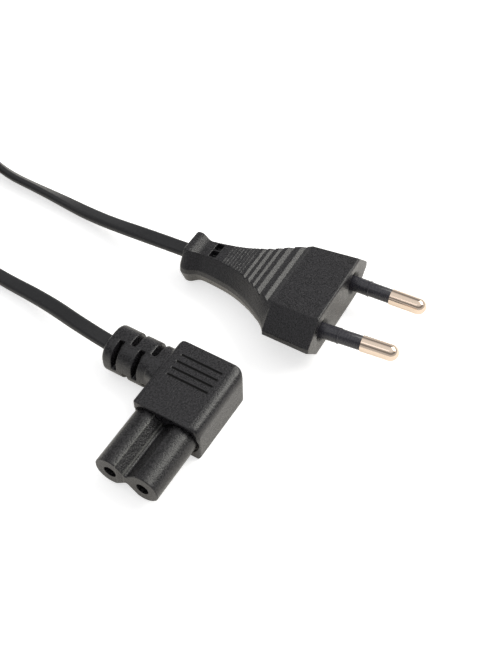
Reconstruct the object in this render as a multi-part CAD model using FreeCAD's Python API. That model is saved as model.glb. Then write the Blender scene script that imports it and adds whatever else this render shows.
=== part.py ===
import FreeCAD, Part
import os
from math import atan, cos, degrees, pi, radians, sin, tan

# Mains lead with a right-angled figure-eight connector, a flat twin cord and
# a two-pin plug. Millimetres, +Z up. The connector lies flat with its nose
# along -Y and its cord leaving along -X. The origin is the middle of the
# connector's underside box.

V = FreeCAD.Vector

# Connector body
BODY_W = 17.6
BODY_D = 20.6
BODY_H = 10.9
CORNER_BACK_RIGHT = 2.6
CORNER_BACK_LEFT = 2.2
CORNER_FRONT_LEFT = 0.8
CORNER_FRONT_RIGHT = 0.8
EDGE_TOP_RIGHT = 2.5
EDGE_TOP_LEFT = 1.0
EDGE_BOTTOM = 0.9
EDGE_BACK = 1.0
EDGE_FRONT = 0.3
GRIP_COUNT = 4
GRIP_PITCH = 2.05
GRIP_LENGTH = 11.0
GRIP_R = 0.3
GRIP_DEPTH = 0.3
GRIP_FROM_BACK = 4.2
GRIP_FROM_RIGHT = 4.0

# Figure-eight nose
NOSE_L = 15.3
NOSE_FROM_RIGHT = 9.1
SOCKET_PITCH = 8.6
LOBE_R = 4.0
CREASE_ANGLE = 24.0
VALLEY_Z = 1.2
VALLEY_R = 0.5
NOSE_EDGE = 0.2
NOSE_RECESS_GAP = 0.5
NOSE_RECESS_DEPTH = 0.6
INSERT_ROOT = 6.0
FLANGE_T = 1.6
FLANGE_EXTRA = 0.6
FLANGE_ROUNDNESS = 0.8
SOCKET_R = 1.6
SOCKET_LEAD = 2.4
CAVITY_R = 1.85

# Socket contacts, cores and conductors
PIN_GUEST_R = 1.2
CONTACT_T = 0.3
CONTACT_L = 10.0
CONTACT_SETBACK = 0.5
CONTACT_SLIT = 0.5
CONTACT_SLIT_L = 8.0
COLLAR_L = 2.0
BARREL_R = 1.2
BARREL_L = 9.2
CORE_R = 0.9
CORE_SPACING = 2.1
STRAND_R = 0.45
CRIMP_GRIP = 5.0
CORE_BEND = 3.3
CORE_RUN = 6.0

# Strain relief moulded with the connector body
RELIEF_L = 15.0
RELIEF_FROM_BACK = 6.9
RELIEF_HALF_W = 5.5
RELIEF_HALF_H = 5.1
RELIEF_ROUNDNESS = 0.85
RELIEF_EDGE = 0.9
RELIEF_FLARE = 2.6
FLARE_HALF_H = 4.6
FLARE_EDGE = 2.0
SLOT_COUNT = 4
SLOT_PITCH = 2.85
SLOT_FIRST = 3.5
SLOT_W = 1.35
SLOT_DEPTH = 2.3
SLOT_SWEEP = 90.0
SLOT_TURN = 7.0

# Plug body
PLUG_W = 35.3
PLUG_H = 11.6
PLUG_TOP_W = 24.1
PLUG_SIDE_FLAT = 1.4
BLOCK_L = 12.4
PLUG_EDGE = 0.4
LIP_L = 0.7
LIP_INSET = 1.3
WINDOW_L = 1.9
WINDOW_W = 2.4
WINDOW_GAP = 0.4
WINDOW_DEPTH = 1.6
WINDOW_AT = 34.1

# Form of the waist and the collar behind the block: distance from the face, half
# the width, half the top's width and half the height
WAIST_FORM = [
    (12.4, 16.5, 11.25, 5.6),
    (14.8, 13.4, 10.3, 5.2),
    (17.4, 11.3, 8.85, 5.1),
    (20.2, 9.4, 7.05, 5.0),
    (23.4, 7.7, 5.45, 4.9),
    (27.0, 6.4, 4.15, 4.75),
    (31.0, 5.5, 3.3, 4.6),
    (34.6, 5.0, 2.9, 4.4),
    (36.4, 5.1, 2.9, 4.4),
    (38.0, 5.9, 3.5, 4.85),
    (39.4, 6.1, 3.8, 5.15),
    (40.4, 5.8, 3.6, 5.05),
]

# Grip ribs: each ramp's start and width, then the fine ones
RIB_RAMPS = [(13.4, 1.5), (16.2, 1.4), (18.5, 0.95), (20.2, 1.05), (21.9, 0.95)]
RIB_SLOPE = 0.52
RIB_LEAN = 0.25
FINE_COUNT = 8
FINE_FIRST = 23.6
FINE_PITCH = 0.82
FINE_W = 0.45

# Plug pins, their sleeves and the bridge that holds them
PIN_SPACING = 18.6
PIN_TIP_SPACING = 17.5
PIN_L = 19.0
PIN_R = 2.0
SLEEVE_L = 10.0
SLEEVE_R = 1.8
SLEEVE_ROOT_R = 2.2
SLEEVE_ROOT_L = 4.4
SHANK_R = 1.45
PIN_RECESS_R = 2.9
PIN_RECESS_DEPTH = 0.7
BRIDGE_SETBACK = 2.6
BRIDGE_T = 4.0
BRIDGE_W = 26.0
BRIDGE_H = 7.0
BRIDGE_EDGE = 1.7
SLEEVE_TRIM = 0.1
HEAD_R = 2.5
HEAD_T = 0.8
TAIL_L = 5.2
TAIL_R = 1.5
PLUG_CORE_LEAD = 2.6

# Where the plug lies beside the connector
PLUG_AT = (24.31, 47.17)
PLUG_YAW = 4.4
PLUG_PITCH = -2.2
PLUG_TILT = -7.35

# Cord, its coil and the tie
CORD_R = 1.6
CORD_W = 4.2
CORD_T = 2.1
COIL_AT = (-115.3, 34.5)
COIL_OUTER_R = 26.8
COIL_TURN_GAP = 2.2
COIL_COLUMNS = 5
COIL_LAYERS = 2
COIL_LAYER_GAP = 4.4
COIL_ENTRY_ANGLE = -72.0
COIL_EXIT_ANGLE = 65.0
COIL_STUB = 16.0
COIL_STUB_INSET = 0.6
COIL_EXIT_SLOPE = 9.0
COIL_LEAD = 12.0
CORD_EXIT = 9.0
PLUG_CORD_EXIT = 12.0
COIL_EDGE = 1.4
TIE_ANGLE = 150.0
TIE_W = 4.0
TIE_T = 0.8
TIE_SUNK = 0.1
TIE_ROOM = 1.0
MOULD_GAP = 0.05

# Where the cord lies between its straight exits, picked along its way on the table
CONNECTOR_CORD_REST = [(-40.0, 14.4, 3.1), (-57.0, 16.6, 2.0)]
PLUG_CORD_REST = [(-61.5, 45.9, 1.9), (-46.0, 45.3, 2.7)]

TOLERANCE = 1e-4

RIGHT_X = (BODY_W + RELIEF_L) / 2
LEFT_X = RIGHT_X - BODY_W
RELIEF_X = LEFT_X - RELIEF_L
BACK_Y = (BODY_D + NOSE_L) / 2
FRONT_Y = BACK_Y - BODY_D
NOSE_Y = FRONT_Y - NOSE_L
MID_Z = BODY_H / 2
NOSE_X = RIGHT_X - NOSE_FROM_RIGHT
RELIEF_Y = BACK_Y - RELIEF_FROM_BACK
SOCKETS = {"left": NOSE_X - SOCKET_PITCH / 2, "right": NOSE_X + SOCKET_PITCH / 2}
INSERT_END_Y = FRONT_Y + INSERT_ROOT
CONTACT_Y = NOSE_Y + SOCKET_LEAD + CONTACT_SETBACK
BARREL_END_Y = CONTACT_Y + CONTACT_L + COLLAR_L + BARREL_L
PLUG_END_X = -WAIST_FORM[-1][0] - LIP_L

COIL_HALF_W = (COIL_COLUMNS - 1) * COIL_TURN_GAP / 2 + CORD_T / 2
COIL_MID_R = COIL_OUTER_R - (COIL_COLUMNS - 1) * COIL_TURN_GAP / 2
COIL_H = (COIL_LAYERS - 1) * COIL_LAYER_GAP + CORD_W
COIL_STUB_R = COIL_OUTER_R + CORD_T / 2 - CORD_R - COIL_STUB_INSET


# Closed faces, straight rods and lofts that several pieces share
def face_of(edges):
    return Part.Face(Part.Wire(Part.__sortEdges__(edges)))


def polygon_face(points):
    return Part.Face(Part.makePolygon(points + points[:1]))


def rod(start, end, radius):
    along = end.sub(start)
    return Part.makeCylinder(radius, along.Length, start, along)


def loft(sections, ruled):
    wires = [Part.makePolygon(points + points[:1]) for points in sections]
    return Part.makeLoft(wires, True, ruled)


def rounded_face(corners, radii):
    # corners run round the outline; each is rounded by its own radius
    edges = []
    count = len(corners)
    ends = []
    for i in range(count):
        here = corners[i]
        back = corners[i - 1].sub(here).normalize()
        ahead = corners[(i + 1) % count].sub(here).normalize()
        reach = radii[i] / tan(back.getAngle(ahead) / 2)
        start = here + back * reach
        end = here + ahead * reach
        inward = (back + ahead).normalize()
        centre = here + inward * (radii[i] / sin(back.getAngle(ahead) / 2))
        middle = centre - inward * radii[i]
        ends.append((start, end))
        edges.append(Part.Arc(start, middle, end).toShape())
    for i in range(count):
        edges.append(Part.LineSegment(ends[i - 1][1], ends[i][0]).toShape())
    return face_of(edges)


# Straight runs joined by tangent arcs, for cores and for the cord
def path_through(points, report=None):
    corners = [V(*p) for p in points]
    edges = []
    last = corners[0]
    radii = []
    for i in range(1, len(corners) - 1):
        here = corners[i]
        back = corners[i - 1].sub(here)
        ahead = corners[i + 1].sub(here)
        turn = pi - back.getAngle(ahead)
        reach = 0.45 * min(back.Length, ahead.Length)
        radius = reach / tan(turn / 2)
        radii.append(radius)
        back.normalize()
        ahead.normalize()
        start = here + back * reach
        end = here + ahead * reach
        inward = (back + ahead).normalize()
        middle = here + inward * (radius / cos(turn / 2) - radius)
        edges.append(Part.LineSegment(last, start).toShape())
        edges.append(Part.Arc(start, middle, end).toShape())
        last = end
    edges.append(Part.LineSegment(last, corners[-1]).toShape())
    if report:
        print(report, "arc radii mm:", [round(r, 1) for r in radii])
    return Part.Wire(edges)


def tube_along(path, radius):
    start = path.Edges[0].valueAt(path.Edges[0].FirstParameter)
    along = path.Edges[0].tangentAt(path.Edges[0].FirstParameter)
    ring = Part.Wire(Part.makeCircle(radius, start, along))
    return path.makePipeShell([ring], True, False)


# Section of the figure-eight nose, grown outwards by a clearance
def nose_face(y, grow=0.0):
    radius = LOBE_R + grow
    crease_x = radius * sin(radians(CREASE_ANGLE))
    crease_z = radius * cos(radians(CREASE_ANGLE))
    valley = VALLEY_Z + grow
    edges = []
    for side in (-1, 1):
        centre_x = NOSE_X + side * SOCKET_PITCH / 2
        low = V(centre_x - side * crease_x, y, MID_Z - crease_z)
        high = V(centre_x - side * crease_x, y, MID_Z + crease_z)
        outer = V(centre_x + side * radius, y, MID_Z)
        edges.append(Part.Arc(low, outer, high).toShape())
        edges.append(Part.LineSegment(high, V(NOSE_X, y, MID_Z + valley)).toShape())
        edges.append(Part.LineSegment(low, V(NOSE_X, y, MID_Z - valley)).toShape())
    return face_of(edges)


def edges_along_y(solid, x, heights):
    found = []
    for edge in solid.Edges:
        box = edge.BoundBox
        flat = box.XLength < TOLERANCE and box.ZLength < TOLERANCE
        if flat and abs(box.XMin - x) < TOLERANCE:
            if any(abs(box.ZMin - z) < TOLERANCE for z in heights):
                found.append(edge)
    return found


def edges_at_y(solid, y):
    flat = [e for e in solid.Edges if e.BoundBox.YLength < TOLERANCE]
    return [e for e in flat if abs(e.BoundBox.YMin - y) < TOLERANCE]


def nose_block(y, length, grow=0.0):
    block = nose_face(y, grow).extrude(V(0, length, 0))
    depth = VALLEY_Z + grow
    valleys = edges_along_y(block, NOSE_X, (MID_Z - depth, MID_Z + depth))
    return block.makeFillet(VALLEY_R - grow, valleys)


def at_corners(place, half_w, half_h):
    return [place(sx * half_w, sz * half_h) for sx, sz in ((-1, -1), (1, -1), (1, 1), (-1, 1))]


def flange_face(y, grow=0.0):
    half_w = SOCKET_PITCH / 2 + LOBE_R + grow
    half_h = LOBE_R + FLANGE_EXTRA + grow
    corners = at_corners(lambda w, h: V(NOSE_X + w, y, MID_Z + h), half_w, half_h)
    return rounded_face(corners, [half_h * FLANGE_ROUNDNESS] * 4)


# Hard nose block: two lobes, straight flanks to a valley, a flange at its root
def connector_insert():
    length = NOSE_L + INSERT_ROOT
    block = nose_block(NOSE_Y, length)
    block = block.makeChamfer(NOSE_EDGE, edges_at_y(block, NOSE_Y))
    flange_y = INSERT_END_Y - FLANGE_T
    block = block.fuse(flange_face(flange_y).extrude(V(0, FLANGE_T, 0))).removeSplitter()
    for x in SOCKETS.values():
        mouth = V(x, NOSE_Y, MID_Z)
        lead_end = mouth + V(0, SOCKET_LEAD, 0)
        rear = mouth + V(0, length, 0)
        block = block.cut(rod(mouth, lead_end, SOCKET_R))
        block = block.cut(rod(lead_end, rear, CAVITY_R))
    return block


# Rolled socket contact: split tube, collar that seats in the cavity, crimp barrel
def contact(side):
    x = SOCKETS[side]
    tube_end = CONTACT_Y + CONTACT_L
    collar_end = tube_end + COLLAR_L
    front = V(x, CONTACT_Y, MID_Z)
    outer_r = PIN_GUEST_R + CONTACT_T
    solid = rod(front, V(x, tube_end, MID_Z), outer_r)
    solid = solid.fuse(rod(V(x, tube_end, MID_Z), V(x, collar_end, MID_Z), CAVITY_R - MOULD_GAP))
    solid = solid.fuse(rod(V(x, collar_end, MID_Z), V(x, BARREL_END_Y, MID_Z), BARREL_R))
    solid = solid.cut(rod(front, V(x, tube_end, MID_Z), PIN_GUEST_R))
    strand_y = BARREL_END_Y - CRIMP_GRIP
    solid = solid.cut(rod(V(x, strand_y, MID_Z), V(x, BARREL_END_Y, MID_Z), STRAND_R + MOULD_GAP))
    slit = Part.makeBox(CONTACT_SLIT, CONTACT_SLIT_L, 2 * outer_r, V(x - CONTACT_SLIT / 2, CONTACT_Y, MID_Z))
    return solid.cut(slit)


# Route of one core: along the relief, round one bend, down to its contact's barrel
def core_path(side):
    x = SOCKETS[side]
    shift = CORE_SPACING / 2 if side == "right" else -CORE_SPACING / 2
    y = RELIEF_Y + shift
    bend_start = V(x - CORE_BEND, y, MID_Z)
    bend_end = V(x, y - CORE_BEND, MID_Z)
    centre = V(bend_start.x, bend_end.y, MID_Z)
    middle = centre + V(CORE_BEND * sin(pi / 4), CORE_BEND * sin(pi / 4), 0)
    run = Part.LineSegment(V(RELIEF_X, y, MID_Z), bend_start).toShape()
    bend = Part.Arc(bend_start, middle, bend_end).toShape()
    drop = Part.LineSegment(bend_end, V(x, BARREL_END_Y, MID_Z)).toShape()
    return Part.Wire([run, bend, drop])


def connector_core(side):
    path = core_path(side)
    return tube_along(path, CORE_R).cut(tube_along(path, STRAND_R + MOULD_GAP))


def connector_strand(side):
    x = SOCKETS[side]
    tail_start = V(x, BARREL_END_Y, MID_Z)
    tail = rod(tail_start, tail_start - V(0, CRIMP_GRIP, 0), STRAND_R)
    return tube_along(core_path(side), STRAND_R).fuse(tail).removeSplitter()


# Right-angled body: side section crossed with the plan outline
def body_block():
    section_corners = [V(LEFT_X, FRONT_Y, 0), V(RIGHT_X, FRONT_Y, 0),
                       V(RIGHT_X, FRONT_Y, BODY_H), V(LEFT_X, FRONT_Y, BODY_H)]
    section_radii = [EDGE_BOTTOM, EDGE_BOTTOM, EDGE_TOP_RIGHT, EDGE_TOP_LEFT]
    section = rounded_face(section_corners, section_radii)
    plan_corners = [V(LEFT_X, FRONT_Y, 0), V(RIGHT_X, FRONT_Y, 0),
                    V(RIGHT_X, BACK_Y, 0), V(LEFT_X, BACK_Y, 0)]
    plan_radii = [CORNER_FRONT_LEFT, CORNER_FRONT_RIGHT, CORNER_BACK_RIGHT, CORNER_BACK_LEFT]
    plan = rounded_face(plan_corners, plan_radii)
    side_corners = [V(LEFT_X, FRONT_Y, 0), V(LEFT_X, BACK_Y, 0),
                    V(LEFT_X, BACK_Y, BODY_H), V(LEFT_X, FRONT_Y, BODY_H)]
    side = rounded_face(side_corners, [EDGE_FRONT, EDGE_BACK, EDGE_BACK, EDGE_FRONT])
    block = section.extrude(V(0, BODY_D, 0)).common(plan.extrude(V(0, 0, BODY_H)))
    return block.common(side.extrude(V(BODY_W, 0, 0)))


# Oval round the relief's axis, in a plane across X
def relief_oval(x, half_w, half_h):
    corners = at_corners(lambda w, h: V(x, RELIEF_Y + w, MID_Z + h), half_w, half_h)
    return rounded_face(corners, [half_h * RELIEF_ROUNDNESS] * 4)


# Rings of slots that let the relief flex: each ring cuts two opposite quarters,
# and the next ring cuts the other two. Angles run from the crest to the -Y side.
def relief_slots():
    cutters = []
    for index in range(SLOT_COUNT):
        x = RELIEF_X + SLOT_FIRST + index * SLOT_PITCH - SLOT_W / 2
        middle = V(x, RELIEF_Y, MID_Z)
        quarter = 0.0 if index % 2 == 0 else 90.0
        inner = Part.makeCylinder(RELIEF_HALF_H - SLOT_DEPTH, SLOT_W, middle, V(1, 0, 0))
        for half in (0, 180):
            ring = Part.makeCylinder(RELIEF_HALF_W + SLOT_DEPTH, SLOT_W, middle, V(1, 0, 0), SLOT_SWEEP)
            ring.rotate(middle, V(1, 0, 0), SLOT_TURN + quarter + half)
            cutters.append(ring.cut(inner))
    return cutters


# Slotted relief that grows out of the body's left side through a flare
def strain_relief():
    barrel = relief_oval(RELIEF_X, RELIEF_HALF_W, RELIEF_HALF_H).extrude(V(RELIEF_L + BODY_W / 2, 0, 0))
    rim = [e for e in barrel.Edges if abs(e.BoundBox.XMax - RELIEF_X) < TOLERANCE]
    barrel = barrel.makeFillet(RELIEF_EDGE, rim)
    for cutter in relief_slots():
        barrel = barrel.cut(cutter)
    return barrel


# Concave fillet between the relief's near side and the body's left face
def relief_flare():
    near_y = RELIEF_Y - RELIEF_HALF_W
    corner = V(LEFT_X, near_y, MID_Z - FLARE_HALF_H)
    along = corner + V(-RELIEF_FLARE, 0, 0)
    down = corner + V(0, -RELIEF_FLARE, 0)
    centre = corner + V(-RELIEF_FLARE, -RELIEF_FLARE, 0)
    middle = centre + V(RELIEF_FLARE * sin(pi / 4), RELIEF_FLARE * sin(pi / 4), 0)
    inner_a = along + V(0, RELIEF_FLARE, 0)
    inner_b = down + V(RELIEF_FLARE, 0, 0)
    inner_c = V(inner_b.x, inner_a.y, corner.z)
    outline = face_of([
        Part.Arc(along, middle, down).toShape(),
        Part.LineSegment(down, inner_b).toShape(),
        Part.LineSegment(inner_b, inner_c).toShape(),
        Part.LineSegment(inner_c, inner_a).toShape(),
        Part.LineSegment(inner_a, along).toShape(),
    ])
    web = outline.extrude(V(0, 0, 2 * FLARE_HALF_H))
    level = [e for e in web.Edges if e.BoundBox.ZLength < TOLERANCE]
    curved = [e for e in level if e.Curve.TypeId == "Part::GeomCircle"]
    return web.makeFillet(FLARE_EDGE, curved)


# Four grip grooves sunk across the top of the body
def grip_grooves():
    cutters = []
    end_x = RIGHT_X - GRIP_FROM_RIGHT
    for index in range(GRIP_COUNT):
        y = BACK_Y - GRIP_FROM_BACK - index * GRIP_PITCH
        centre = BODY_H + GRIP_R - GRIP_DEPTH
        groove = rod(V(end_x - GRIP_LENGTH, y, centre), V(end_x, y, centre), GRIP_R)
        cutters.append(groove)
    return cutters


# Soft moulding of the connector: body, slotted relief, cavities round what it holds
def connector_housing():
    shell = body_block().fuse([strain_relief(), relief_flare()]).removeSplitter()
    for cutter in grip_grooves():
        shell = shell.cut(cutter)
    pocket = nose_block(FRONT_Y, INSERT_ROOT, MOULD_GAP)
    recess = nose_face(FRONT_Y, NOSE_RECESS_GAP).extrude(V(0, NOSE_RECESS_DEPTH, 0))
    flange_y = INSERT_END_Y - FLANGE_T - MOULD_GAP
    flange = flange_face(flange_y, MOULD_GAP).extrude(V(0, FLANGE_T + MOULD_GAP, 0))
    shell = shell.cut(pocket.fuse([recess, flange]))
    for side in SOCKETS:
        x = SOCKETS[side]
        barrel = rod(V(x, INSERT_END_Y, MID_Z), V(x, BARREL_END_Y, MID_Z), BARREL_R + MOULD_GAP)
        shell = shell.cut(barrel.fuse(tube_along(core_path(side), CORE_R + MOULD_GAP)))
    return shell


# Eight-cornered section of the plug: flat top, bevels and narrow side flats
def plug_section(x, half_w, half_top, half_h):
    flat = PLUG_SIDE_FLAT / 2
    quarter = [(half_top, -half_h), (half_w, -flat), (half_w, flat), (half_top, half_h)]
    mirrored = [(-y, -z) for y, z in quarter]
    return [V(x, y, z) for y, z in quarter + mirrored]


def face_section():
    return plug_section(0, PLUG_W / 2, PLUG_TOP_W / 2, PLUG_H / 2)


def form_section(station):
    return plug_section(-station[0], *station[1:])


# Straight-sided block behind the plug's face
def plug_block():
    block = loft([face_section(), form_section(WAIST_FORM[0])], True)
    face_edges = [e for e in block.Edges if abs(e.BoundBox.XMin) < TOLERANCE]
    return block.makeFillet(PLUG_EDGE, face_edges)


# Hollow-sided waist that swells again to the collar
def plug_waist():
    return loft([form_section(station) for station in WAIST_FORM], False)


# Bevelled lip where the cord comes out of the collar
def plug_lip():
    x, half_w, half_top, half_h = WAIST_FORM[-1]
    end = plug_section(PLUG_END_X, half_w - LIP_INSET, half_top - LIP_INSET, half_h - LIP_INSET)
    return loft([form_section(WAIST_FORM[-1]), end], True)


# Height of the waist's top at a distance behind the face
def waist_height(distance):
    for (near, _, _, near_h), (far, _, _, far_h) in zip(WAIST_FORM, WAIST_FORM[1:]):
        if near <= distance <= far:
            return near_h + (far_h - near_h) * (distance - near) / (far - near)


# One saw-tooth groove: a steep wall towards the face and a ramp towards the cord
def rib_groove(distance, width):
    depth = width * RIB_SLOPE
    top = waist_height(distance)
    ramp_top = waist_height(distance + width)
    reach = PLUG_W / 2
    above = PLUG_H / 2 + depth
    x = -distance
    points = [V(x, -reach, above), V(x - depth * RIB_LEAN, -reach, top - depth),
              V(x - width, -reach, ramp_top), V(x - width, -reach, above)]
    return polygon_face(points).extrude(V(0, 2 * reach, 0))


def rib_grooves():
    ramps = RIB_RAMPS + [(FINE_FIRST + index * FINE_PITCH, FINE_W) for index in range(FINE_COUNT)]
    return [rib_groove(distance, width) for distance, width in ramps]


# Pair of windows between the ribs and the collar that show the cord's sheath
def collar_windows():
    cutters = []
    floor = waist_height(WINDOW_AT) - WINDOW_DEPTH
    for side in (-1, 1):
        y = side * (WINDOW_GAP + WINDOW_W) / 2 - WINDOW_W / 2
        cutters.append(Part.makeBox(WINDOW_L, WINDOW_W, PLUG_H, V(-WINDOW_AT, y, floor)))
    return cutters


def both_faces(cutter):
    under = cutter.copy()
    under.rotate(V(0, 0, 0), V(1, 0, 0), 180)
    return [cutter, under]


# Sides of the plug's pins: where each leaves the face and how far it leans in
def pin_placement(side):
    sign = 1 if side == "left" else -1
    lean = degrees(atan((PIN_SPACING - PIN_TIP_SPACING) / 2 / PIN_L))
    return FreeCAD.Placement(V(0, sign * PIN_SPACING / 2, 0), FreeCAD.Rotation(V(0, 0, 1), -sign * lean))


def at_pin(solid, side):
    return solid.transformed(pin_placement(side).toMatrix(), True)


# Turned pin: domed tip, shank under the sleeve, head behind the bridge, crimp tail
def pin_turning(grow=0.0):
    bridge_end = -BRIDGE_SETBACK - BRIDGE_T
    head_end = bridge_end - HEAD_T
    tail_end = head_end - TAIL_L
    shank = SHANK_R + grow
    tip = PIN_R + grow
    head = HEAD_R + grow
    tail = TAIL_R + grow
    dome_start = PIN_L - PIN_R
    dome_middle = V(dome_start + PIN_R * sin(pi / 4), tip * sin(pi / 4), 0)
    points = [V(dome_start, tip, 0), V(SLEEVE_L, tip, 0), V(SLEEVE_L, shank, 0), V(bridge_end, shank, 0),
              V(bridge_end, head, 0), V(head_end, head, 0), V(head_end, tail, 0), V(tail_end, tail, 0),
              V(tail_end, 0, 0), V(PIN_L, 0, 0)]
    edges = [Part.Arc(V(PIN_L, 0, 0), dome_middle, V(dome_start, tip, 0)).toShape()]
    edges += [Part.LineSegment(points[i], points[i + 1]).toShape() for i in range(len(points) - 1)]
    return face_of(edges).revolve(V(0, 0, 0), V(1, 0, 0), 360)


def tail_end_x():
    return -BRIDGE_SETBACK - BRIDGE_T - HEAD_T - TAIL_L


def plug_pin(side):
    tail_x = tail_end_x()
    hole = rod(V(tail_x, 0, 0), V(tail_x + CRIMP_GRIP, 0, 0), STRAND_R + MOULD_GAP)
    return at_pin(pin_turning().cut(hole), side)


# Insulating sleeve with a thicker root, from the bridge to the bare tip; its root
# is left a little long and trimmed to the bridge's face
def sleeve_turning(grow=0.0):
    root = rod(V(-BRIDGE_SETBACK - SLEEVE_TRIM, 0, 0), V(SLEEVE_ROOT_L, 0, 0), SLEEVE_ROOT_R + grow)
    return root.fuse(rod(V(0, 0, 0), V(SLEEVE_L, 0, 0), SLEEVE_R + grow)).removeSplitter()


def pin_sleeve(side):
    bore = rod(V(-BRIDGE_SETBACK - SLEEVE_TRIM, 0, 0), V(SLEEVE_L, 0, 0), SHANK_R + MOULD_GAP)
    return at_pin(sleeve_turning().cut(bore), side).cut(bridge_block())


# Moulded bridge that holds both pins at their spacing
def bridge_block():
    corners = at_corners(lambda w, h: V(-BRIDGE_SETBACK, w, h), BRIDGE_W / 2, BRIDGE_H / 2)
    return rounded_face(corners, [BRIDGE_EDGE] * 4).extrude(V(-BRIDGE_T, 0, 0))


def pin_bridge():
    block = bridge_block()
    for side in ("left", "right"):
        block = block.cut(at_pin(pin_turning(MOULD_GAP), side))
    return block


# Route of one core inside the plug, from the lip's end to its pin's tail
def plug_core_path(side):
    sign = 1 if side == "left" else -1
    tail = pin_placement(side).multVec(V(tail_end_x(), 0, 0))
    near = pin_placement(side).multVec(V(tail_end_x() - PLUG_CORE_LEAD, 0, 0))
    y = sign * CORE_SPACING / 2
    turn_x = -WINDOW_AT + CORE_RUN
    points = [(PLUG_END_X, y, 0), (turn_x, y, 0), (near.x, near.y, 0), (tail.x, tail.y, 0)]
    return path_through(points)


def plug_core(side):
    path = plug_core_path(side)
    return tube_along(path, CORE_R).cut(tube_along(path, STRAND_R + MOULD_GAP))


def plug_strand(side):
    inside = rod(V(tail_end_x(), 0, 0), V(tail_end_x() + CRIMP_GRIP, 0, 0), STRAND_R)
    return tube_along(plug_core_path(side), STRAND_R).fuse(at_pin(inside, side))


# Soft moulding of the plug with its ribs, windows and cavities
def plug_body():
    shell = plug_block().fuse([plug_waist(), plug_lip()]).removeSplitter()
    for cutter in rib_grooves() + collar_windows():
        for tool in both_faces(cutter):
            shell = shell.cut(tool)
    shell = shell.cut(bridge_block())
    for side in ("left", "right"):
        recess = at_pin(rod(V(-PIN_RECESS_DEPTH, 0, 0), V(PIN_R, 0, 0), PIN_RECESS_R), side)
        held = at_pin(pin_turning(MOULD_GAP).fuse(sleeve_turning(MOULD_GAP)), side)
        shell = shell.cut(held.fuse([recess, tube_along(plug_core_path(side), CORE_R + MOULD_GAP)]))
    return shell


# The plug leans a little on its cord, with its lowest corner on the table
def plug_placement():
    turn = FreeCAD.Rotation(PLUG_YAW, PLUG_PITCH, PLUG_TILT)
    corners = face_section() + form_section(WAIST_FORM[0])
    lowest = min(turn.multVec(point).z for point in corners)
    return FreeCAD.Placement(V(PLUG_AT[0], PLUG_AT[1], -lowest), turn)


def placed(solid):
    return solid.transformed(plug_placement().toMatrix(), True)


# Point and heading just inside the outer turn; the coil winds clockwise seen from above
def coil_tangent(angle):
    turn = radians(angle)
    point = V(COIL_AT[0] + COIL_STUB_R * cos(turn), COIL_AT[1] + COIL_STUB_R * sin(turn), 0)
    return point, V(sin(turn), -cos(turn), 0)


# The cord comes in level with the bottom layer and slopes down off the top one
def coil_ends():
    entry, inward = coil_tangent(COIL_ENTRY_ANGLE)
    leave, outward = coil_tangent(COIL_EXIT_ANGLE)
    entry.z = CORD_W / 2
    leave.z = COIL_H - CORD_W / 2
    outward.z = -tan(radians(COIL_EXIT_SLOPE))
    outward.normalize()
    return entry - inward * COIL_STUB, inward, leave + outward * COIL_STUB, outward


# Outer shape of the tied coil, with the stubs its two ends leave along
def cord_coil():
    middle = V(COIL_AT[0], COIL_AT[1], COIL_H / 2)
    half_w = COIL_HALF_W
    half_h = COIL_H / 2
    flat_w = half_w - COIL_EDGE
    flat_h = half_h - COIL_EDGE
    outline = [(-flat_w, -half_h), (flat_w, -half_h), (half_w, -flat_h), (half_w, flat_h)]
    outline += [(-w, -h) for w, h in outline]
    section = polygon_face([middle + V(COIL_MID_R + w, 0, h) for w, h in outline])
    ring = section.revolve(middle, V(0, 0, 1), 360)
    entry_end, inward, exit_end, outward = coil_ends()
    ring = ring.fuse([rod(entry_end, entry_end + inward * COIL_STUB, CORD_R),
                      rod(exit_end, exit_end - outward * COIL_STUB, CORD_R)])
    return ring.cut(tie_band(-TIE_ROOM))


# Flat strap drawn round the bundle; the bundle is waisted where it passes, and the
# strap lies sunk in that waist
def tie_band(inset):
    middle = V(COIL_AT[0], COIL_AT[1], COIL_H / 2)
    band = tie_loop(inset).cut(tie_loop(TIE_T))
    band.rotate(middle, V(0, 0, 1), TIE_ANGLE)
    return band


def tie_loop(inset):
    half_w = COIL_HALF_W - inset
    half_h = COIL_H / 2 - inset
    middle = V(COIL_AT[0] + COIL_MID_R, COIL_AT[1] - TIE_W / 2, COIL_H / 2)
    corners = at_corners(lambda w, h: middle + V(w, 0, h), half_w, half_h)
    return rounded_face(corners, [COIL_EDGE] * 4).extrude(V(0, TIE_W, 0))


# Cord from the connector's relief, across the table, to the coil
def connector_cord_points():
    entry_end, inward, exit_end, outward = coil_ends()
    start = V(RELIEF_X, RELIEF_Y, MID_Z)
    straight = start - V(CORD_EXIT, 0, 0)
    return [start, straight, *CONNECTOR_CORD_REST, entry_end - inward * COIL_LEAD, entry_end]


# Cord from the coil back to the plug's lip
def plug_cord_points():
    entry_end, inward, exit_end, outward = coil_ends()
    lip = plug_placement().multVec(V(PLUG_END_X, 0, 0))
    straight = plug_placement().multVec(V(PLUG_END_X - PLUG_CORD_EXIT, 0, 0))
    return [exit_end, exit_end + outward * COIL_LEAD, *PLUG_CORD_REST, straight, lip]


def cord_tube(name, points):
    path = path_through(points, name)
    solid = tube_along(path, CORD_R)
    print(name, "length", round(path.Length, 1), "volume over section times length",
          round(solid.Volume / (pi * CORD_R ** 2 * path.Length), 4))
    return solid


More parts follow.
